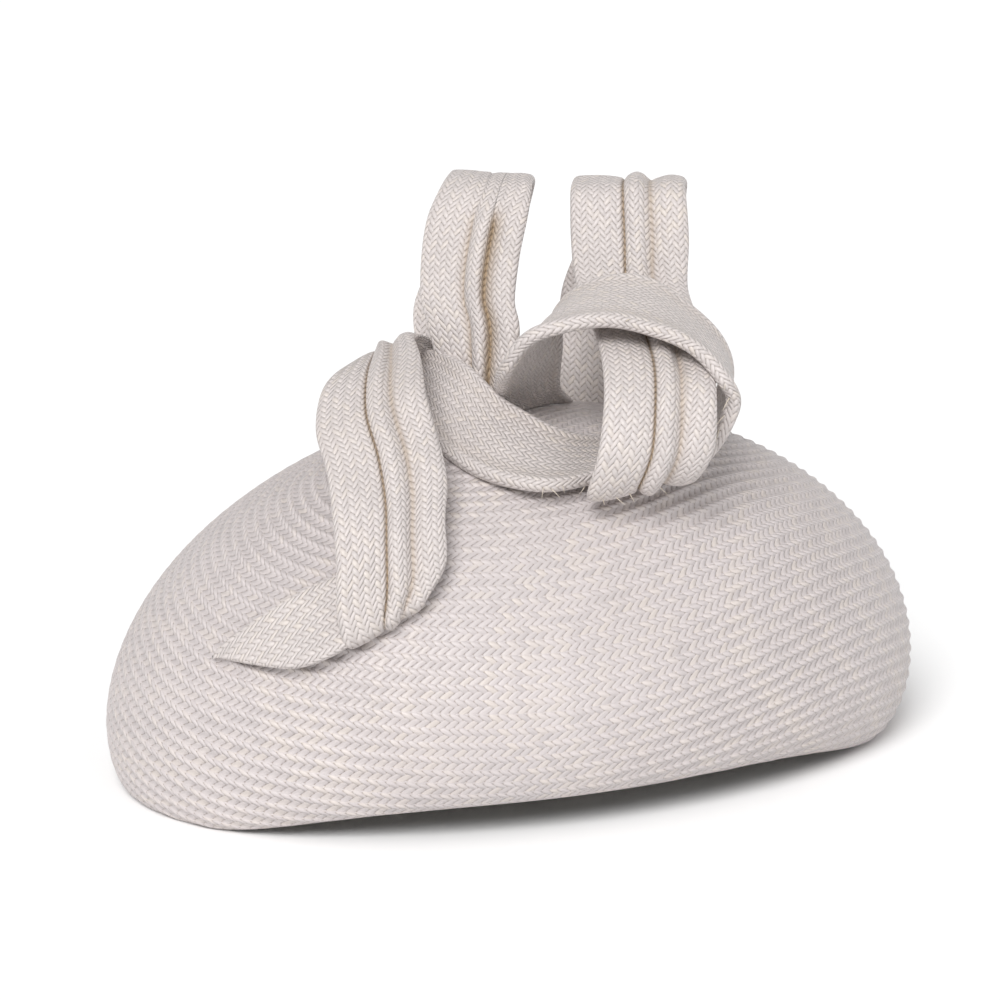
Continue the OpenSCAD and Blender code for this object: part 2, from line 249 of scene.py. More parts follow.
def add(tree, kind, *values, **settings):
    """Adds a node with its settings, fills or links its inputs in order, and gives its first output."""
    node = tree.nodes.new(kind)
    for key, value in settings.items():
        setattr(node, key, value)
    for socket, value in zip(node.inputs, values):
        if isinstance(value, bpy.types.NodeSocket):
            tree.links.new(value, socket)
        elif value is not None:
            socket.default_value = value
    return node.outputs[0] if node.outputs else node


# Two-over two-under straw weave. Along and Across are counted in strands; one family of
# strands leans left and the other right, and each goes over two and under two.
weave = bpy.data.node_groups.new("two over two under straw weave", "ShaderNodeTree")
for label in ("Along", "Across"):
    weave.interface.new_socket(label, in_out="INPUT", socket_type="NodeSocketFloat")
for label in ("Height", "Gap", "Strand", "Fibre"):
    weave.interface.new_socket(label, in_out="OUTPUT", socket_type="NodeSocketFloat")
along = add(weave, "NodeGroupInput")
across = along.node.outputs[1]
left_lean = add(weave, "ShaderNodeMath", across, along, operation="SUBTRACT")
right_lean = add(weave, "ShaderNodeMath", across, along, operation="ADD")
lifts, fibres, marks = [], [], []
for own, other, start in ((left_lean, right_lean, 0), (right_lean, left_lean, -2)):
    index = add(weave, "ShaderNodeMath", own, operation="FLOOR")
    share = add(weave, "ShaderNodeMath", own, operation="FRACT")
    rest = add(weave, "ShaderNodeMath", 1.0, share, operation="SUBTRACT")
    bulge = add(weave, "ShaderNodeMath", share, rest, operation="MULTIPLY")
    bulge = add(weave, "ShaderNodeMath", bulge, 4.0, operation="MULTIPLY")
    bulge = add(weave, "ShaderNodeMath", bulge, 0.7, operation="POWER")
    where = add(weave, "ShaderNodeMath", index, other, operation="ADD")
    where = add(weave, "ShaderNodeMath", where, float(start), operation="ADD")
    where = add(weave, "ShaderNodeMath", where, 4.0, operation="FLOORED_MODULO")
    where = add(weave, "ShaderNodeMath", where, 1.0, operation="SUBTRACT")
    where = add(weave, "ShaderNodeMath", where, math.pi / 2, operation="MULTIPLY")
    arch = add(weave, "ShaderNodeMath", where, operation="COSINE")
    arch = add(weave, "ShaderNodeMath", arch, 0.45, operation="MULTIPLY")
    lifts.append(add(weave, "ShaderNodeMath", bulge, 0.55, arch, operation="MULTIPLY_ADD"))
    fine = add(weave, "ShaderNodeMath", own, 5.0, operation="MULTIPLY")
    slow = add(weave, "ShaderNodeMath", other, 0.5, operation="MULTIPLY")
    fibres.append(add(weave, "ShaderNodeCombineXYZ", fine, slow, float(start)))
    marks.append(add(weave, "ShaderNodeCombineXYZ", index, float(start), 0.0))
height = add(weave, "ShaderNodeMath", lifts[0], lifts[1], operation="MAXIMUM")
on_top = add(weave, "ShaderNodeMath", lifts[0], lifts[1], operation="GREATER_THAN")
gap = add(weave, "ShaderNodeMapRange", height, 0.48, 0.14, 0.0, 1.0)
mark = add(
    weave, "ShaderNodeMix", on_top, None, None, None, marks[1], marks[0], data_type="VECTOR"
).node.outputs[1]
fibre = add(
    weave, "ShaderNodeMix", on_top, None, None, None, fibres[1], fibres[0], data_type="VECTOR"
).node.outputs[1]
strand = add(weave, "ShaderNodeTexWhiteNoise", mark, noise_dimensions="3D")
fibre = add(weave, "ShaderNodeTexNoise", fibre, None, 1.0, 2.0)
add(weave, "NodeGroupOutput", height, gap, strand, fibre)
# Lengths in mm that the patterns are laid out by: round the widest line, and from the top to it
AROUND = 590
TOP_TO_WIDEST = 125


def straw_material(name, strand_width, lean, relief_mm, rings, pale, dull):
    """Sisal straw: pale dry fibre with a soft gloss along each strand, and pinholes painted a darker tan
    as painted shade.
    """
    material = bpy.data.materials.new(name)
    material.use_nodes = True
    tree = material.node_tree
    shader = tree.nodes["Principled BSDF"]
    shader.inputs["Roughness"].default_value = 0.45
    shader.inputs["Specular IOR Level"].default_value = 0.5
    shader.inputs["Sheen Weight"].default_value = 0.15
    shader.inputs["Sheen Roughness"].default_value = 0.5
    spot = add(tree, "ShaderNodeTexCoord").node.outputs["Object"]
    uv = add(tree, "ShaderNodeUVMap", uv_map="UVMap")
    u = add(tree, "ShaderNodeSeparateXYZ", uv)
    v = u.node.outputs[1]
    slip = add(tree, "ShaderNodeTexNoise", spot, None, 60.0, 2.0)
    slip = add(tree, "ShaderNodeMath", slip, 0.5, operation="SUBTRACT")
    across = add(tree, "ShaderNodeMath", v, math.cos(lean) / strand_width, operation="MULTIPLY")
    if rings:
        rib = add(tree, "ShaderNodeMath", across, -0.25, operation="ADD")
        rib = add(tree, "ShaderNodeMath", rib, 0.5, operation="MULTIPLY")
        rib = add(tree, "ShaderNodeMath", rib, operation="FLOOR")
        # A whole number of strands in each ring: its length, which grows as a sine from the top
        # to the widest ring, over the strands' pitch
        ring = add(tree, "ShaderNodeMath", rib, 2.0, 1.25, operation="MULTIPLY_ADD")
        pitch_down = strand_width / math.cos(lean)
        ring = add(tree, "ShaderNodeMath", ring, pitch_down / TOP_TO_WIDEST, operation="MULTIPLY")
        ring = add(tree, "ShaderNodeMath", ring, 1.0, operation="MINIMUM")
        ring = add(tree, "ShaderNodeMath", ring, 0.02, operation="MAXIMUM")
        ring = add(tree, "ShaderNodeMath", ring, 0.95, operation="POWER")
        ring = add(tree, "ShaderNodeMath", ring, math.pi / 2, operation="MULTIPLY")
        ring = add(tree, "ShaderNodeMath", ring, operation="SINE")
        most = AROUND * math.sin(lean) / strand_width
        ring = add(tree, "ShaderNodeMath", ring, most, operation="MULTIPLY")
        ring = add(tree, "ShaderNodeMath", ring, operation="ROUND")
        # Each ring starts a little further round, so that the starts don't line up
        start = add(tree, "ShaderNodeMath", rib, 0.618, operation="MULTIPLY")
        along = add(tree, "ShaderNodeMath", u, ring, start, operation="MULTIPLY_ADD")
    else:
        along = add(tree, "ShaderNodeMath", u, math.sin(lean) / strand_width, operation="MULTIPLY")
    along = add(tree, "ShaderNodeMath", along, slip, operation="ADD")
    cloth = tree.nodes.new("ShaderNodeGroup")
    cloth.node_tree = weave
    tree.links.new(along, cloth.inputs[0])
    tree.links.new(across, cloth.inputs[1])
    height, gap, strand, fibre = cloth.outputs
    patch = add(tree, "ShaderNodeTexNoise", spot, None, 25.0, 3.0)
    warm = add(
        tree, "ShaderNodeMix", patch, None, None, None, None, None, linear(pale), linear(dull),
        data_type="RGBA",
    ).node.outputs[2]
    shade = add(tree, "ShaderNodeMapRange", strand, 0.0, 1.0, 0.9, 1.05)
    fleck = add(tree, "ShaderNodeMapRange", fibre, 0.3, 0.7, 0.93, 1.03)
    shade = add(tree, "ShaderNodeMath", shade, fleck, operation="MULTIPLY")
    body = add(
        tree, "ShaderNodeMix", 1.0, None, None, None, None, None, warm, shade,
        data_type="RGBA", blend_type="MULTIPLY",
    ).node.outputs[2]
    # About three strands in ten have dried a little yellower
    dry = add(tree, "ShaderNodeMapRange", strand, 0.7, 1.0, 0.0, 0.25)
    body = add(
        tree, "ShaderNodeMix", dry, None, None, None, None, None, body, linear("#D2C5B0"),
        data_type="RGBA",
    ).node.outputs[2]
    # Between two ribs the straw lies lower, and its colour is darkened there as painted shade
    ribs = add(tree, "ShaderNodeAttribute", attribute_name="ribs").node.outputs["Fac"]
    crest = add(tree, "ShaderNodeMath", across, math.pi, -CREST_AT * math.pi, operation="MULTIPLY_ADD")
    crest = add(tree, "ShaderNodeMath", crest, operation="COSINE")
    crest = add(tree, "ShaderNodeMath", crest, ribs, operation="MULTIPLY")
    painted_valley_shade = add(tree, "ShaderNodeMapRange", crest, -1.0, 0.3, 0.86, 1.0)
    body = add(
        tree, "ShaderNodeMix", 1.0, None, None, None, None, None, body, painted_valley_shade,
        data_type="RGBA", blend_type="MULTIPLY",
    ).node.outputs[2]
    # Where the strands part, the colour is mixed towards a darker tan as painted shade
    painted_pinhole_shade = add(tree, "ShaderNodeMath", gap, 0.7, operation="MULTIPLY")
    colour = add(
        tree, "ShaderNodeMix", painted_pinhole_shade, None, None, None, None, None, body, linear("#8E7B68"),
        data_type="RGBA",
    ).node.outputs[2]
    # A strap's colour is darkened deep in its tuck and folds as painted shade
    painted_fold_shade = add(tree, "ShaderNodeAttribute", attribute_name="painted_fold_shade").node.outputs["Fac"]
    colour = add(
        tree, "ShaderNodeMix", painted_fold_shade, None, None, None, None, None, colour, linear("#A8937A"),
        data_type="RGBA",
    ).node.outputs[2]
    tree.links.new(colour, shader.inputs["Base Color"])
    relief = add(tree, "ShaderNodeMath", fibre, 0.12, height, operation="MULTIPLY_ADD")
    relief = add(tree, "ShaderNodeMath", crest, 0.5, relief, operation="MULTIPLY_ADD")
    bump = add(tree, "ShaderNodeBump", 1.0, relief_mm * MM)
    tree.links.new(relief, bump.node.inputs["Height"])
    tree.links.new(bump, shader.inputs["Normal"])
    return material


crown.data.materials.append(straw_material(
    "blocked sisal straw", CROWN_STRAND, CROWN_LEAN, 0.42, True, "#D3CBCB", "#CDC4C2"
))
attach(crown, "headpiece")
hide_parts("crown_straw")

# ---------------------------------------------------------------------------
# Straps: wide folded strips of the same straw, each with a sewn tuck along its middle
# and a wire inside. One comes out of the crown and folds over the front, one crosses to
# the right and rolls into a ring, and two stand up as loops behind.
STRAP_STRAND = 1.25
STRAP_LEAN = math.radians(40)
ROOT = [
    [[-94, -30, 47], [-94, -30, 46]],
    [[-86, -34, 55], [-88, -41, 47]],
    [[-74, -39, 64], [-79, -51, 48]],
    [[-66, -41, 68], [-71, -56, 52]],
    [[-60, -43, 70], [-64, -57, 56]],
]
DRAPE = [
    [[-62, -53, 57], [-50, -54, 64]],
    [[-67, -56, 54], [-46, -57, 65]],
    [[-69, -55, 62], [-40, -56, 73]],
    [[-68, -52, 73], [-38, -50, 83]],
    [[-66, -43, 84], [-35, -43, 91]],
    [[-64, -32, 93], [-34, -34, 99]],
    [[-63, -20, 101], [-34, -24, 109]],
    [[-58, -10, 109], [-30, -8, 115]],
    [[-49, -3, 112], [-25, 12, 116]],
    [[-40, 4, 108], [-17, 23, 112]],
    [[-31, 12, 100], [-9, 31, 103]],
    [[-24, 17, 93], [-5, 33, 90]],
]
RING = [
    [[-19, 44, 82], [-32, 26, 90]],
    [[-17, 36, 98], [-31, 17, 98]],
    [[-17, 21, 108], [-31, 0, 99]],
    [[-14, 1, 109], [-28, -19, 92]],
    [[-8, -12, 102], [-22, -33, 89]],
    [[4, -22, 95], [-9, -44, 87]],
    [[20, -19, 90], [10, -43, 88]],
    [[36, -24, 93], [32, -48, 91]],
    [[46, -27, 100], [40, -52, 105]],
    [[49, -28, 111], [38, -53, 113]],
    [[45, -23, 121], [32, -47, 121]],
    [[33, -13, 131], [20, -39, 126]],
    [[19, -8, 131], [7, -34, 127]],
    [[10, -7, 124], [-7, -30, 124]],
    [[9, -6, 113], [-12, -22, 114]],
    [[12, 1, 102], [-10, -12, 106]],
    [[18, 8, 96], [-5, -4, 97]],
]
LEFT_LOOP = [
    [[-18, 8, 97], [-6, -8, 97]],
    [[-19, 17, 116], [-1, -4, 118]],
    [[-20, 21, 124], [0, 2, 126]],
    [[-18, 26, 134], [3, 7, 136]],
    [[-15, 30, 144], [7, 12, 145]],
    [[-10, 35, 150], [10, 17, 151]],
    [[-4, 44, 152], [12, 21, 153]],
    [[-1, 51, 150], [16, 30, 151]],
    [[-3, 55, 139], [15, 35, 139]],
    [[-5, 55, 126], [13, 36, 127]],
    [[-12, 51, 112], [9, 32, 113]],
    [[-13, 34, 89], [6, 18, 95]],
]
RIGHT_LOOP = [
    [[12, -35, 84], [34, -37, 86]],
    [[1, -49, 85], [31, -52, 89]],
    [[2, -54, 97], [33, -58, 98]],
    [[6, -48, 110], [35, -54, 110]],
    [[10, -36, 118], [39, -42, 116]],
    [[14, -18, 123], [42, -26, 122]],
    [[17, 1, 129], [45, -10, 128]],
    [[19, 10, 139], [48, -3, 140]],
    [[21, 16, 149], [50, 4, 150]],
    [[24, 23, 151], [53, 12, 152]],
    [[28, 30, 150], [56, 18, 149]],
    [[31, 34, 135], [55, 21, 134]],
    [[24, 31, 118], [50, 17, 117]],
    [[18, 16, 92], [44, 3, 90]],
]
# A strap's folded section: share of the width, height over its middle in mm, how much painted
# shade it gets deep in a fold, and the height where the tuck has run out
TUCKED = [
    (0.0, 0.0, 0, 0.0), (0.015, 0.9, 0, 0.9), (0.07, 1.4, 0, 1.4), (0.24, 1.7, 0, 1.7),
    (0.37, 1.5, 0, 1.6), (0.43, 1.1, 0.1, 1.6), (0.455, 0.35, 0.9, 1.5), (0.461, 0.4, 1.0, 1.3),
    (0.467, 1.3, 0.2, 1.4), (0.50, 2.3, 0, 1.6), (0.555, 2.9, 0, 1.6), (0.61, 2.4, 0, 1.6),
    (0.66, 1.1, 0.1, 1.6), (0.69, 0.5, 0.5, 1.6), (0.73, 1.1, 0.1, 1.6), (0.84, 2.0, 0, 1.8),
    (0.94, 1.7, 0, 1.6), (0.985, 0.9, 0, 0.9), (1.0, 0.0, 0, 0.0), (0.985, -0.8, 0, -0.8),
    (0.93, -1.1, 0, -1.1), (0.72, -0.9, 0, -0.9), (0.5, -0.8, 0, -0.8), (0.28, -1.0, 0, -1.0),
    (0.07, -1.1, 0, -1.1), (0.015, -0.7, 0, -0.7),
]
# The left loop's tuck is turned over its right wing, with the slot on that side darkened by painted
# shade
TURNED_TUCK = [
    (0.0, 0.0, 0, 0.0), (0.015, 0.9, 0, 0.9), (0.07, 1.4, 0, 1.4), (0.24, 1.7, 0, 1.7),
    (0.38, 1.5, 0, 1.6), (0.45, 0.9, 0.3, 1.6), (0.47, 0.6, 0.6, 1.5), (0.49, 1.2, 0.2, 1.2),
    (0.53, 2.5, 0, 1.4), (0.58, 3.4, 0, 1.6), (0.63, 3.5, 0, 1.6), (0.665, 2.6, 0.2, 1.6),
    (0.675, 0.6, 1, 1.6), (0.685, -0.1, 1, 1.6), (0.72, 0.6, 0.6, 1.6), (0.84, 1.8, 0, 1.8),
    (0.94, 1.7, 0, 1.6), (0.985, 0.9, 0, 0.9), (1.0, 0.0, 0, 0.0), (0.985, -0.8, 0, -0.8),
    (0.93, -1.1, 0, -1.1), (0.72, -0.9, 0, -0.9), (0.5, -0.8, 0, -0.8), (0.28, -1.0, 0, -1.0),
    (0.07, -1.1, 0, -1.1), (0.015, -0.7, 0, -0.7),
]
PLAIN = [
    (0.0, 0.0, 0, 0.0), (0.015, 0.9, 0, 0.9), (0.08, 1.3, 0, 1.3), (0.3, 1.4, 0, 1.4),
    (0.5, 1.5, 0, 1.5), (0.7, 1.4, 0, 1.4), (0.92, 1.3, 0, 1.3), (0.985, 0.9, 0, 0.9),
    (1.0, 0.0, 0, 0.0), (0.985, -0.9, 0, -0.9), (0.92, -1.3, 0, -1.3), (0.7, -1.4, 0, -1.4),
    (0.5, -1.4, 0, -1.4), (0.3, -1.4, 0, -1.4), (0.08, -1.3, 0, -1.3), (0.015, -0.9, 0, -0.9),
]
# The ring's edges are rolled over a cord, so they are thicker than its middle
ROLLED = [
    (-0.02, 0.0, 0, 0.0), (0.0, 1.5, 0, 1.5), (0.06, 2.1, 0, 2.1), (0.14, 1.6, 0.1, 1.6),
    (0.3, 1.2, 0, 1.2), (0.5, 1.3, 0, 1.3), (0.7, 1.2, 0, 1.2), (0.86, 1.6, 0.1, 1.6),
    (0.94, 2.1, 0, 2.1), (1.0, 1.5, 0, 1.5), (1.02, 0.0, 0, 0.0), (1.0, -1.5, 0, -1.5),
    (0.94, -2.1, 0, -2.1), (0.86, -1.6, 0.1, -1.6), (0.7, -1.3, 0, -1.3), (0.5, -1.5, 0, -1.5),
    (0.3, -1.3, 0, -1.3), (0.14, -1.6, 0.1, -1.6), (0.06, -2.1, 0, -2.1), (0.0, -1.5, 0, -1.5),
]


def smooth_path(points, per_piece, closed):
    """A smooth curve through the points, as rows of values."""
    p = np.array(points, dtype=float)
    if closed:
        p = np.concatenate([p[-1:], p, p[:2]])
    else:
        p = np.concatenate([[2 * p[0] - p[1]], p, [2 * p[-1] - p[-2]]])
    t = (np.arange(per_piece) / per_piece)[:, None]
    pieces = [
        0.5 * (2 * b + (c - a) * t + (2 * a - 5 * b + 4 * c - d) * t * t
               + (3 * b - a - 3 * c + d) * t ** 3)
        for a, b, c, d in zip(p[:-3], p[1:-2], p[2:-1], p[3:])
    ]
    return np.concatenate([*pieces, p[-2:-1]])


STRAP_STEP = 1.1
EDGE_PARTS = 24
SECTION_PARTS = 4
TUCK_FADE = 0.06


def strap(name, edges, section, node, seed, tuck=(0.0, 1.0)):
    """A folded section swept between a strap's left and right edges, tucked along part of it."""
    table = np.array(edges, dtype=float).reshape(len(edges), 6)
    fine = smooth_path(table, EDGE_PARTS, False)
    middle = (fine[:, :3] + fine[:, 3:]) / 2
    length = np.concatenate([[0], np.cumsum(np.linalg.norm(np.diff(middle, axis=0), axis=-1))])
    rings = int(length[-1] / STRAP_STEP)
    at = np.linspace(0, length[-1], rings + 1)
    line = np.stack([np.interp(at, length, fine[:, k]) for k in range(6)], -1)
    left, right = line[:, :3], line[:, 3:]
    along = np.gradient((left + right) / 2, axis=0)
    face = np.cross(right - left, along)
    face /= np.linalg.norm(face, axis=1)[:, None]
    width = np.linalg.norm(right - left, axis=1)
    form = smooth_path(section, SECTION_PARTS, True)
    flat = np.stack([form[:, 0] * width.mean(), form[:, 1]], -1)
    across = np.concatenate([[0], np.cumsum(np.linalg.norm(np.diff(flat, axis=0), axis=-1))])
    share = np.linspace(0, 1, len(form))

    def tucked_at(s):
        return ease((s - tuck[0]) / TUCK_FADE) * ease((tuck[1] - s) / TUCK_FADE)

    def place(s, t):
        ring = np.clip(np.rint(s * rings), 0, rings).astype(int)
        x = np.interp(t, share, form[:, 0])
        tucked = tucked_at(s)
        h = np.interp(t, share, form[:, 1]) * tucked + np.interp(t, share, form[:, 3]) * (1 - tucked)
        ripple = 0.25 * np.sin(at[ring] / 9 + seed) + 0.15 * np.sin(at[ring] / 3.7 + 2 * seed + 5 * x)
        return left[ring] + (right - left)[ring] * x[:, None] + face[ring] * (h + ripple)[:, None]

    def pattern(s, t):
        ring = np.clip(np.rint(s * rings), 0, rings).astype(int)
        return np.stack([at[ring], np.interp(t, share, across) * width[ring] / width.mean()], -1)

    piece = shaped_grid(name, (rings, len(form) - 1), place, pattern, fill=True)
    uv = np.empty(len(piece.data.loops) * 2)
    piece.data.uv_layers["UVMap"].data.foreach_get("uv", uv)
    corner = np.empty(len(piece.data.loops), dtype=np.int32)
    piece.data.loops.foreach_get("vertex_index", corner)
    # How much painted shade each point gets, by how deep it lies in the strap's folds
    local = uv[1::2] / np.interp(uv[0::2], at, width) * width.mean()
    tucked = tucked_at(uv[0::2] / length[-1])
    values = np.zeros(len(piece.data.vertices))
    values[corner] = np.clip(np.interp(local, across, form[:, 2]) * tucked, 0, 1)
    point_values(piece, "painted_fold_shade", values)
    piece.data.materials.append(strap_straw)
    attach(piece, "headpiece")
    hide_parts(node)


strap_straw = straw_material(
    "folded sisal straw strip", STRAP_STRAND, STRAP_LEAN, 0.55, False, "#D8D0CE", "#D1C8C4"
)
strap("root_fold", ROOT, PLAIN, "drape_root", 1)
strap("front_drape", DRAPE, TUCKED, "drape_strap", 2)
strap("rolled_ring", RING, ROLLED, "ring_strap", 3)
strap("left_standing_loop", LEFT_LOOP, TURNED_TUCK, "left_loop", 4, (0.0, 0.40))
strap("right_standing_loop", RIGHT_LOOP, TUCKED, "right_loop", 5)

# ---------------------------------------------------------------------------
# Loose fibres: dry sisal splits, so a few ends have sprung out of the straps' folded edges
# where they were pulled tight against the crown and round the ring.
FIBRE_RADIUS = 0.16
FIBRE_TIP = 0.04
FIBRE_ENDS = (
    # Where it comes out, which way it points, its length, and how far its tip bends down
    ((-9, -44, 87), (-0.5, -1, -0.1), 4.5, 1.2), ((-7, -44.5, 86.6), (0.4, -1, -0.4), 3.5, 0.4),
    ((-4, -44.6, 87), (-0.2, -1, 0.1), 3.0, 1.0), ((2, -45, 86.5), (-0.9, -1, -0.5), 4.0, -0.5),
    ((5, -50, 85), (-0.2, -1, -0.7), 3.8, -0.8), ((8, -50.3, 85.2), (0.6, -1, -0.8), 4.6, -0.6),
    ((12, -50.6, 85.6), (0.2, -0.9, -0.5), 3.2, 0.5), ((20, -51.3, 86.8), (0.8, -0.7, -0.9), 3.4, 0),
    ((37, -51, 100), (-0.6, -0.9, -0.4), 4.2, 0.8), ((38, -52, 104), (-0.9, -0.7, -0.2), 5.0, 1.4),
    ((39, -53, 109), (-0.8, -0.5, -0.6), 3.6, 1.0), ((38, -52.6, 113), (-0.5, -0.9, -0.3), 3.0, 0.3),
    ((0, -30, 126), (-0.3, -1, 0.6), 3.2, 0.9), ((16, -38, 128), (0.2, -1, 0.7), 2.8, 0.6),
)
bm = bmesh.new()
for start, points_to, length, bend in FIBRE_ENDS:
    heading = Vector(points_to).to_track_quat("Z", "Y").to_matrix().to_4x4()
    first, first_edge = len(bm.verts), len(bm.edges)
    bmesh.ops.create_cone(
        bm, cap_ends=True, segments=6, radius1=FIBRE_RADIUS, radius2=FIBRE_TIP, depth=length
    )
    long_edges = [e for e in list(bm.edges)[first_edge:] if e.calc_length() > length / 2]
    bmesh.ops.subdivide_edges(bm, edges=long_edges, cuts=5)
    made = list(bm.verts)[first:]
    bmesh.ops.translate(bm, verts=made, vec=(0, 0, length / 2))
    bmesh.ops.transform(bm, verts=made, matrix=Matrix.Translation(start) @ heading)
    for v in made:
        v.co.z -= bend * ((v.co - Vector(start)).length / length) ** 2
bmesh.ops.scale(bm, verts=bm.verts, vec=(MM, MM, MM))
bmesh.ops.recalc_face_normals(bm, faces=bm.faces)
for face in bm.faces:
    face.smooth = True
fibre_mesh = bpy.data.meshes.new("loose_fibres")
bm.to_mesh(fibre_mesh)
bm.free()
loose = bpy.data.objects.new("loose_fibres", fibre_mesh)
bpy.context.scene.collection.objects.link(loose)
sisal = bpy.data.materials.new("split sisal fibre")
sisal.use_nodes = True
sisal_tree = sisal.node_tree
sisal_shader = sisal_tree.nodes["Principled BSDF"]
sisal_shader.inputs["Roughness"].default_value = 0.5
spot = add(sisal_tree, "ShaderNodeTexCoord").node.outputs["Object"]
# Sun and handling have toned each fibre a little differently, every 3 mm or so
toned = add(sisal_tree, "ShaderNodeTexNoise", spot, None, 330.0, 2.0)
toned = add(sisal_tree, "ShaderNodeValToRGB", toned)
toned.node.color_ramp.elements[0].color = linear("#C9BBA6")
toned.node.color_ramp.elements[1].color = linear("#E4DCCF")
sisal_tree.links.new(toned, sisal_shader.inputs["Base Color"])
loose.data.materials.append(sisal)
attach(loose, "headpiece")

# ---------------------------------------------------------------------------
# Rolled hem: the straw's edge is turned up inside the rim over a wire, and slip-stitched.
# It shows as a narrow sloping band of straw when the headpiece is turned over.
LINING_IN = 3.6
HEM_LOW, HEM_HIGH = 0.4, 10.7
HEM_WALL = 0.9
HEM_STANDS_IN = 1.9
HEM_RIPPLE = 0.12
HEM_RIPPLES = 56
HEM_STRANDS = 230
HEM_SECTION = 24
STRAW_GAP = 0.3


def rim_point(turn, inset, up):
    """A point inside the rim in mm: inset from the widest line, and up from the rim's edge."""
    narrow = 1 + NARROWING * np.cos(turn)
    return np.stack([
        (HALF_LENGTH - inset) * np.cos(turn), (HALF_WIDTH - inset) * narrow * np.sin(turn),
        rim_height(turn) + up,
    ], -1)


hem_t = np.array([0, 0.42, 0.5, 0.92, 1.0])
hem_up = np.array([HEM_LOW, HEM_HIGH, HEM_HIGH, HEM_LOW, HEM_LOW])
hem_share = np.array([0, 1, 1, 0, 0])
hem_wall = np.array([0, 0, HEM_WALL, HEM_WALL, 0])


def hem_place(s, t):
    turn = turn_at(s)
    painted_valley_shade = TURN_IN + TURN_IN_END * np.cos(turn) + STRAW_WALL + STRAW_GAP
    share = np.interp(t, hem_t, hem_share)
    inset = painted_valley_shade + (LINING_IN + HEM_STANDS_IN - painted_valley_shade) * share + np.interp(t, hem_t, hem_wall)
    ripple = HEM_RIPPLE * np.sin(HEM_RIPPLES * turn) * share
    return rim_point(turn, inset + ripple, np.interp(t, hem_t, hem_up))


def hem_pattern(s, t):
    return np.stack([s * HEM_STRANDS * STRAP_STRAND / math.sin(STRAP_LEAN), t * HEM_SECTION], -1)


hem = shaped_grid("turned_up_hem", (336, 24), hem_place, hem_pattern)
hem.data.materials.append(strap_straw)
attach(hem, "headpiece")
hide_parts("rim_binding")


ROW_HEIGHT = 1.6


def crown_layer(name, outer, inner, last_row, cells, puckers=None):
    """A closed layer of the crown in mm, from its outer to its inner depth and back."""
    t_steps, rows = np.array([0, 0.495, 0.505, 1]), np.array([0, last_row, last_row, 0])
    depths = np.array([outer, outer, inner, inner])

    def place(s, t):
        turn, row = turn_at(s), np.interp(t, t_steps, rows)
        depth = np.interp(t, t_steps, depths)
        return crown_point(turn, row, depth + (puckers(turn, row) if puckers else 0))

    def pattern(s, t):
        return np.stack([s * AROUND, np.interp(t, t_steps, rows) * ROW_HEIGHT], -1)

    return shaped_grid(name, cells, place, pattern)


# ---------------------------------------------------------------------------
# Foundation: stiffened open-weave cotton, blocked on the same block as the straw and
# stitched to it at the widest line. The lining covers it.
FOUNDATION_OUT, FOUNDATION_IN = 1.9, 2.7
FOUNDATION_LAST_ROW = 128
foundation = crown_layer(
    "stiff_foundation", FOUNDATION_OUT, FOUNDATION_IN, FOUNDATION_LAST_ROW, (96, 64)
)
buckram = bpy.data.materials.new("stiffened cotton buckram")
buckram.use_nodes = True
buckram_shader = buckram.node_tree.nodes["Principled BSDF"]
buckram_shader.inputs["Roughness"].default_value = 0.85
# An open weave, glazed with size: its cells are 0.75 mm long and 0.38 mm high
uv = add(buckram.node_tree, "ShaderNodeUVMap", uv_map="UVMap")
open_weave = add(
    buckram.node_tree, "ShaderNodeTexBrick", uv, linear("#E9E3D6"), linear("#E2DBCB"),
    linear("#B9AF9C"), 1 / 1.5, 0.12,
)
buckram.node_tree.links.new(open_weave, buckram_shader.inputs["Base Color"])
foundation.data.materials.append(buckram)
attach(foundation, "headpiece")
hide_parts("crown_foundation")

# ---------------------------------------------------------------------------
# Lining: ivory satin, cut with a little ease and gathered into the band, so that soft
# folds fan up from its lower edge and die out towards the top.
LINING_OUT = 3.15
LINING_LAST_ROW = 122
FINE_FOLD, FINE_FOLDS = 0.4, 54
SLACK_FOLD, SLACK_FOLDS = 0.15, 23


def gathers(turn, row):
    """Fine folds that start at row 36, unevenly spaced, and slack ones that start at row 20."""
    fine = FINE_FOLD * np.sin(FINE_FOLDS * turn + 2.1 * np.sin(7 * turn)) * ease((row - 36) / 40)
    slack = SLACK_FOLD * np.sin(SLACK_FOLDS * turn + 0.06 * row) * ease((row - 20) / 40)
    return fine + slack


lining = crown_layer("satin_lining", LINING_OUT, LINING_IN, LINING_LAST_ROW, (432, 128), gathers)
satin = bpy.data.materials.new("ivory silk satin")
satin.use_nodes = True
satin_shader = satin.node_tree.nodes["Principled BSDF"]
satin_shader.inputs["Roughness"].default_value = 0.38
satin_shader.inputs["Sheen Weight"].default_value = 0.35
satin_shader.inputs["Sheen Roughness"].default_value = 0.3
satin_shader.inputs["Specular IOR Level"].default_value = 0.6
satin_tree = satin.node_tree
uv = add(satin_tree, "ShaderNodeUVMap", uv_map="UVMap")
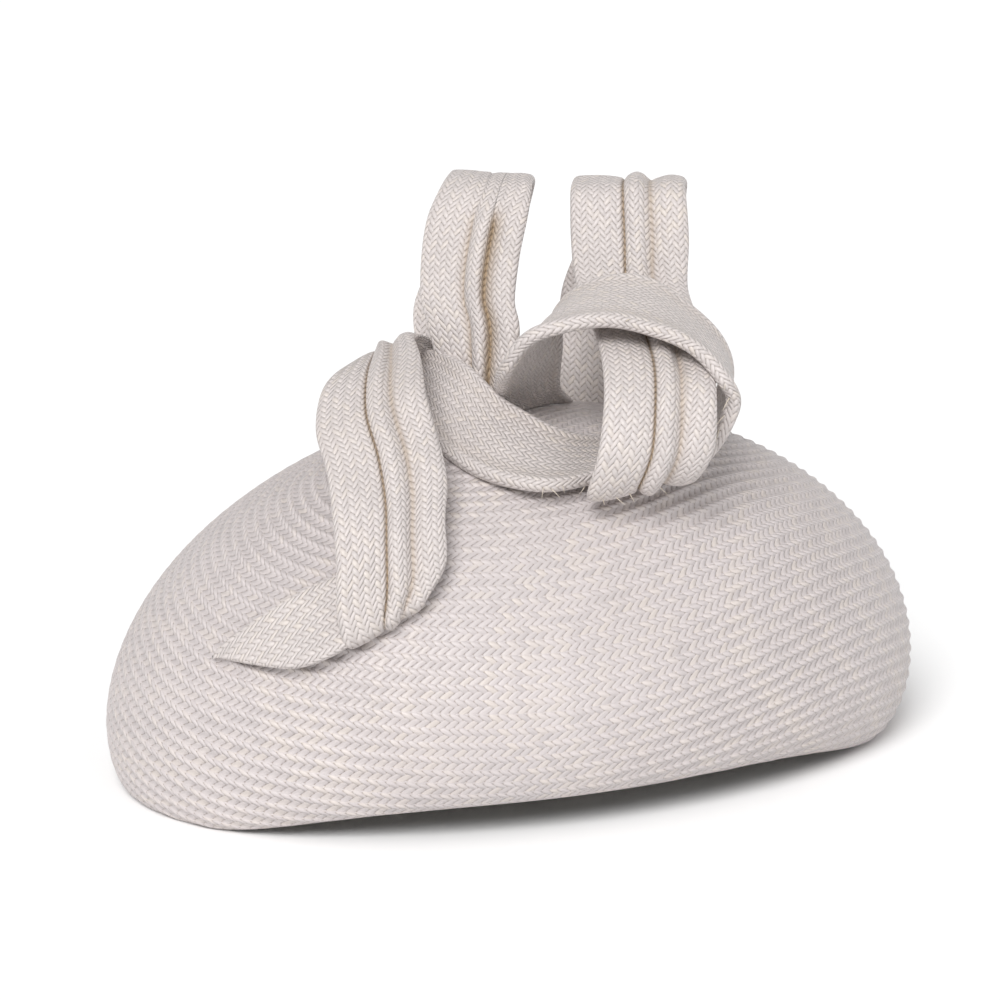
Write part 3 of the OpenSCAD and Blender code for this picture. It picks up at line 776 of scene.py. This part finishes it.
# Long floats of silk: streaks 0.4 mm apart, drawn coarser than real thread so they show
streak = add(satin_tree, "ShaderNodeMapping", uv, None, None, (2.5, 0.12, 1))
streak = add(satin_tree, "ShaderNodeTexNoise", streak, None, 1.0, 3.0)
tone = add(satin_tree, "ShaderNodeValToRGB", streak)
tone.node.color_ramp.elements[0].color = linear("#EBE5DC")
tone.node.color_ramp.elements[1].color = linear("#F5F1EA")
satin_tree.links.new(tone, satin_shader.inputs["Base Color"])
gloss = add(satin_tree, "ShaderNodeMapRange", streak, 0.3, 0.7, 0.3, 0.48)
satin_tree.links.new(gloss, satin_shader.inputs["Roughness"])
soft = add(satin_tree, "ShaderNodeBump", 0.3, 0.1 * MM)
satin_tree.links.new(streak, soft.node.inputs["Height"])
satin_tree.links.new(soft, satin_shader.inputs["Normal"])
lining.data.materials.append(satin)
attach(lining, "headpiece")
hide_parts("lining")

# ---------------------------------------------------------------------------
# Band: 15 mm grosgrain ribbon, steamed to the curve and felled over the lining's edge.
# Fine ribs run across its width, and both its edges are woven with small loops.
BAND_OUT, BAND_IN = 3.9, 4.7
BAND_TOP, BAND_LOW = 84, 110
BAND_RIBS = 420
BAND_RIB_HEIGHT = 0.06
BAND_SECTION = 24
band_t = np.array([0, 0.46, 0.5, 0.96, 1.0])
band_row = np.array([BAND_TOP, BAND_LOW, BAND_LOW, BAND_TOP, BAND_TOP])
band_depth = np.array([BAND_IN, BAND_IN, BAND_OUT, BAND_OUT, BAND_IN])


def band_place(s, t):
    turn = turn_at(s)
    ribs = BAND_RIB_HEIGHT * np.cos(2 * math.pi * s * BAND_RIBS)
    depth = np.interp(t, band_t, band_depth)
    inner_face = depth > 4.5
    return crown_point(turn, np.interp(t, band_t, band_row), depth + ribs * inner_face)


def band_pattern(s, t):
    return np.stack([s * AROUND, t * BAND_SECTION], -1)


band = shaped_grid("grosgrain_band", (1680, 12), band_place, band_pattern)
grosgrain = bpy.data.materials.new("cotton grosgrain ribbon")
grosgrain.use_nodes = True
grosgrain_tree = grosgrain.node_tree
grosgrain_shader = grosgrain_tree.nodes["Principled BSDF"]
grosgrain_shader.inputs["Roughness"].default_value = 0.62
grosgrain_shader.inputs["Sheen Weight"].default_value = 0.2
uv = add(grosgrain_tree, "ShaderNodeUVMap", uv_map="UVMap")
# A rib every 1.4 mm along the ribbon
rib = add(grosgrain_tree, "ShaderNodeSeparateXYZ", uv)
rib_turns = 2 * math.pi * BAND_RIBS / AROUND
rib = add(grosgrain_tree, "ShaderNodeMath", rib, rib_turns, operation="MULTIPLY")
rib = add(grosgrain_tree, "ShaderNodeMath", rib, operation="COSINE")
fuzz = add(grosgrain_tree, "ShaderNodeTexNoise", uv, None, 4.0, 2.0)
rib_shade = add(grosgrain_tree, "ShaderNodeMath", fuzz, 0.5, rib, operation="MULTIPLY_ADD")
# The colour is lighter on each rib's crest and darker between ribs as painted shade, with a little
# random fuzz
rib_tone_and_painted_shade = add(grosgrain_tree, "ShaderNodeValToRGB", rib_shade)
rib_tone_and_painted_shade.node.color_ramp.elements[0].color = linear("#DDD5C8")
rib_tone_and_painted_shade.node.color_ramp.elements[1].color = linear("#EFE9DF")
grosgrain_tree.links.new(rib_tone_and_painted_shade, grosgrain_shader.inputs["Base Color"])
rib_bump = add(grosgrain_tree, "ShaderNodeBump", 0.5, 0.12 * MM)
grosgrain_tree.links.new(rib_shade, rib_bump.node.inputs["Height"])
grosgrain_tree.links.new(rib_bump, grosgrain_shader.inputs["Normal"])
band.data.materials.append(grosgrain)
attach(band, "headpiece")
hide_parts("petersham_band")

# ---------------------------------------------------------------------------
# Label: a plain folded tab of satin with nothing woven in it, stitched flat to the lining
# at its two short ends.
LABEL_TURNS = (247.5, 277.5)
LABEL_TOP, LABEL_LOW = 66, 76
LABEL_OUT, LABEL_IN = 3.85, 4.25
LABEL_LIFT = 0.25
LABEL_LENGTH = 52
LABEL_SECTION = 34
label_t = np.array([0, 0.46, 0.5, 0.96, 1.0])
label_row = np.array([LABEL_TOP, LABEL_LOW, LABEL_LOW, LABEL_TOP, LABEL_TOP])
label_depth = np.array([LABEL_IN, LABEL_IN, LABEL_OUT, LABEL_OUT, LABEL_IN])


def label_place(s, t):
    turn = np.radians(LABEL_TURNS[0] + (LABEL_TURNS[1] - LABEL_TURNS[0]) * s)
    depth = np.interp(t, label_t, label_depth) + LABEL_LIFT * np.sin(math.pi * s)
    return crown_point(turn, np.interp(t, label_t, label_row), depth)


def label_pattern(s, t):
    return np.stack([s * LABEL_LENGTH, t * LABEL_SECTION], -1)


label = shaped_grid("plain_label", (60, 40), label_place, label_pattern, fill=True)
label.data.materials.append(satin)
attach(label, "headpiece")
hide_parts("label_blank")


# ---------------------------------------------------------------------------
# Stitches and tacks: two-ply cotton thread, drawn tight, with a visible twist.
def dress(names, material):
    """Gives CAD nodes a material through their objects' slots."""
    for name in names:
        item = nodes[name]
        if not item.material_slots:
            item.data.materials.append(None)
        for slot in item.material_slots:
            slot.link = "OBJECT"
            slot.material = material


thread = bpy.data.materials.new("twisted cotton thread")
thread.use_nodes = True
thread_tree = thread.node_tree
thread_shader = thread_tree.nodes["Principled BSDF"]
thread_shader.inputs["Roughness"].default_value = 0.7
thread_shader.inputs["Sheen Weight"].default_value = 0.3
spot = add(thread_tree, "ShaderNodeTexCoord").node.outputs["Object"]
# The bands of the twist are 3.5 mm apart along an axis, coarser than real thread so they show; the
# darker bands are painted shade in the twist's grooves
twist = add(
    thread_tree, "ShaderNodeTexWave", spot, 180.0, 1.0, wave_type="BANDS", bands_direction="DIAGONAL"
)
twist_painted_shade = add(thread_tree, "ShaderNodeValToRGB", twist.node.outputs["Fac"])
twist_painted_shade.node.color_ramp.elements[0].color = linear("#CFC6B8")
twist_painted_shade.node.color_ramp.elements[1].color = linear("#EFE9DF")
thread_tree.links.new(twist_painted_shade, thread_shader.inputs["Base Color"])
dress(["binding_stitches", "band_stitches", "lining_stitches", "strap_tacks", "comb_loops"], thread)

# ---------------------------------------------------------------------------
# Wires: drawn steel millinery wire round the rim and inside the straps, its ends held in
# a crimped tube at the back.
wire = bpy.data.materials.new("drawn steel wire")
wire.use_nodes = True
wire_tree = wire.node_tree
wire_shader = wire_tree.nodes["Principled BSDF"]
wire_shader.inputs["Metallic"].default_value = 1.0
wire_shader.inputs["Base Color"].default_value = linear("#B9B9BC")
spot = add(wire_tree, "ShaderNodeTexCoord").node.outputs["Object"]
drawn = add(wire_tree, "ShaderNodeTexNoise", spot, None, 900.0, 2.0)
drawn_rough = add(wire_tree, "ShaderNodeMapRange", drawn, 0.3, 0.7, 0.26, 0.42)
wire_tree.links.new(drawn_rough, wire_shader.inputs["Roughness"])
dress(["edge_wire", "wire_joiner", "drape_wire", "ring_wire", "left_loop_wire", "right_loop_wire"], wire)

# ---------------------------------------------------------------------------
# Comb: bent spring-wire teeth bound to a bar with fine wire, the whole bright plated. It
# hangs from thread loops on the band and folds down out of the crown.
plated = bpy.data.materials.new("bright plated spring wire")
plated.use_nodes = True
plated_tree = plated.node_tree
plated_shader = plated_tree.nodes["Principled BSDF"]
plated_shader.inputs["Metallic"].default_value = 1.0
plated_shader.inputs["Base Color"].default_value = linear("#D9D9DC")
spot = add(plated_tree, "ShaderNodeTexCoord").node.outputs["Object"]
# Handling leaves the plating a little duller in patches about 5 mm across
worn = add(plated_tree, "ShaderNodeTexNoise", spot, None, 200.0, 3.0)
worn_rough = add(plated_tree, "ShaderNodeMapRange", worn, 0.35, 0.7, 0.1, 0.26)
plated_tree.links.new(worn_rough, plated_shader.inputs["Roughness"])
dress(["comb_bar", "comb_teeth", "comb_wrap"], plated)

# ---------------------------------------------------------------------------
# The matt white table it stands on, the light, and the camera.
# Two wide, soft suns, the stronger one from the left, and an even white world around them.
bm = bmesh.new()
bmesh.ops.create_grid(bm, x_segments=4, y_segments=4, size=20.0)
floor_mesh = bpy.data.meshes.new("floor")
bm.to_mesh(floor_mesh)
bm.free()
floor = bpy.data.objects.new("floor", floor_mesh)
bpy.context.scene.collection.objects.link(floor)
paper = bpy.data.materials.new("matt white paper")
paper.use_nodes = True
paper_shader = paper.node_tree.nodes["Principled BSDF"]
paper_shader.inputs["Base Color"].default_value = linear("#FDFDFD")
paper_shader.inputs["Roughness"].default_value = 0.9
paper_shader.inputs["Specular IOR Level"].default_value = 0.0
floor_mesh.materials.append(paper)

world = bpy.data.worlds.new("studio")
world.use_nodes = True
world.node_tree.nodes["Background"].inputs[0].default_value = linear("#FFFFFF")
world.node_tree.nodes["Background"].inputs[1].default_value = 0.53
bpy.context.scene.world = world

for title, comes_from, strength, spread in (
    ("key light", (-0.4, -0.6, 0.66), 2.45, 30),
    ("fill light", (0.7, -0.45, 0.6), 0.15, 50),
):
    lamp = bpy.data.lights.new(title, "SUN")
    lamp.energy = strength
    lamp.angle = math.radians(spread)
    lamp_object = bpy.data.objects.new(title, lamp)
    lamp_object.location = comes_from
    lamp_object.rotation_euler = Vector(comes_from).to_track_quat("Z", "Y").to_euler()
    bpy.context.scene.collection.objects.link(lamp_object)

CAMERA_TARGET = Vector((-0.005, 0, 0.0715))
CAMERA_TURN = math.radians(-20)
CAMERA_RISE = math.radians(16)
CAMERA_DISTANCE = 1.1
camera_data = bpy.data.cameras.new("camera")
camera_data.lens = 146.7
camera_data.sensor_width = 36
camera = bpy.data.objects.new("camera", camera_data)
back = Vector((
    math.sin(CAMERA_TURN) * math.cos(CAMERA_RISE),
    -math.cos(CAMERA_TURN) * math.cos(CAMERA_RISE),
    math.sin(CAMERA_RISE),
))
camera.location = CAMERA_TARGET + back * CAMERA_DISTANCE
camera.rotation_euler = back.to_track_quat("Z", "Y").to_euler()
bpy.context.scene.collection.objects.link(camera)
bpy.context.scene.camera = camera
bpy.context.scene.view_settings.view_transform = "Standard"
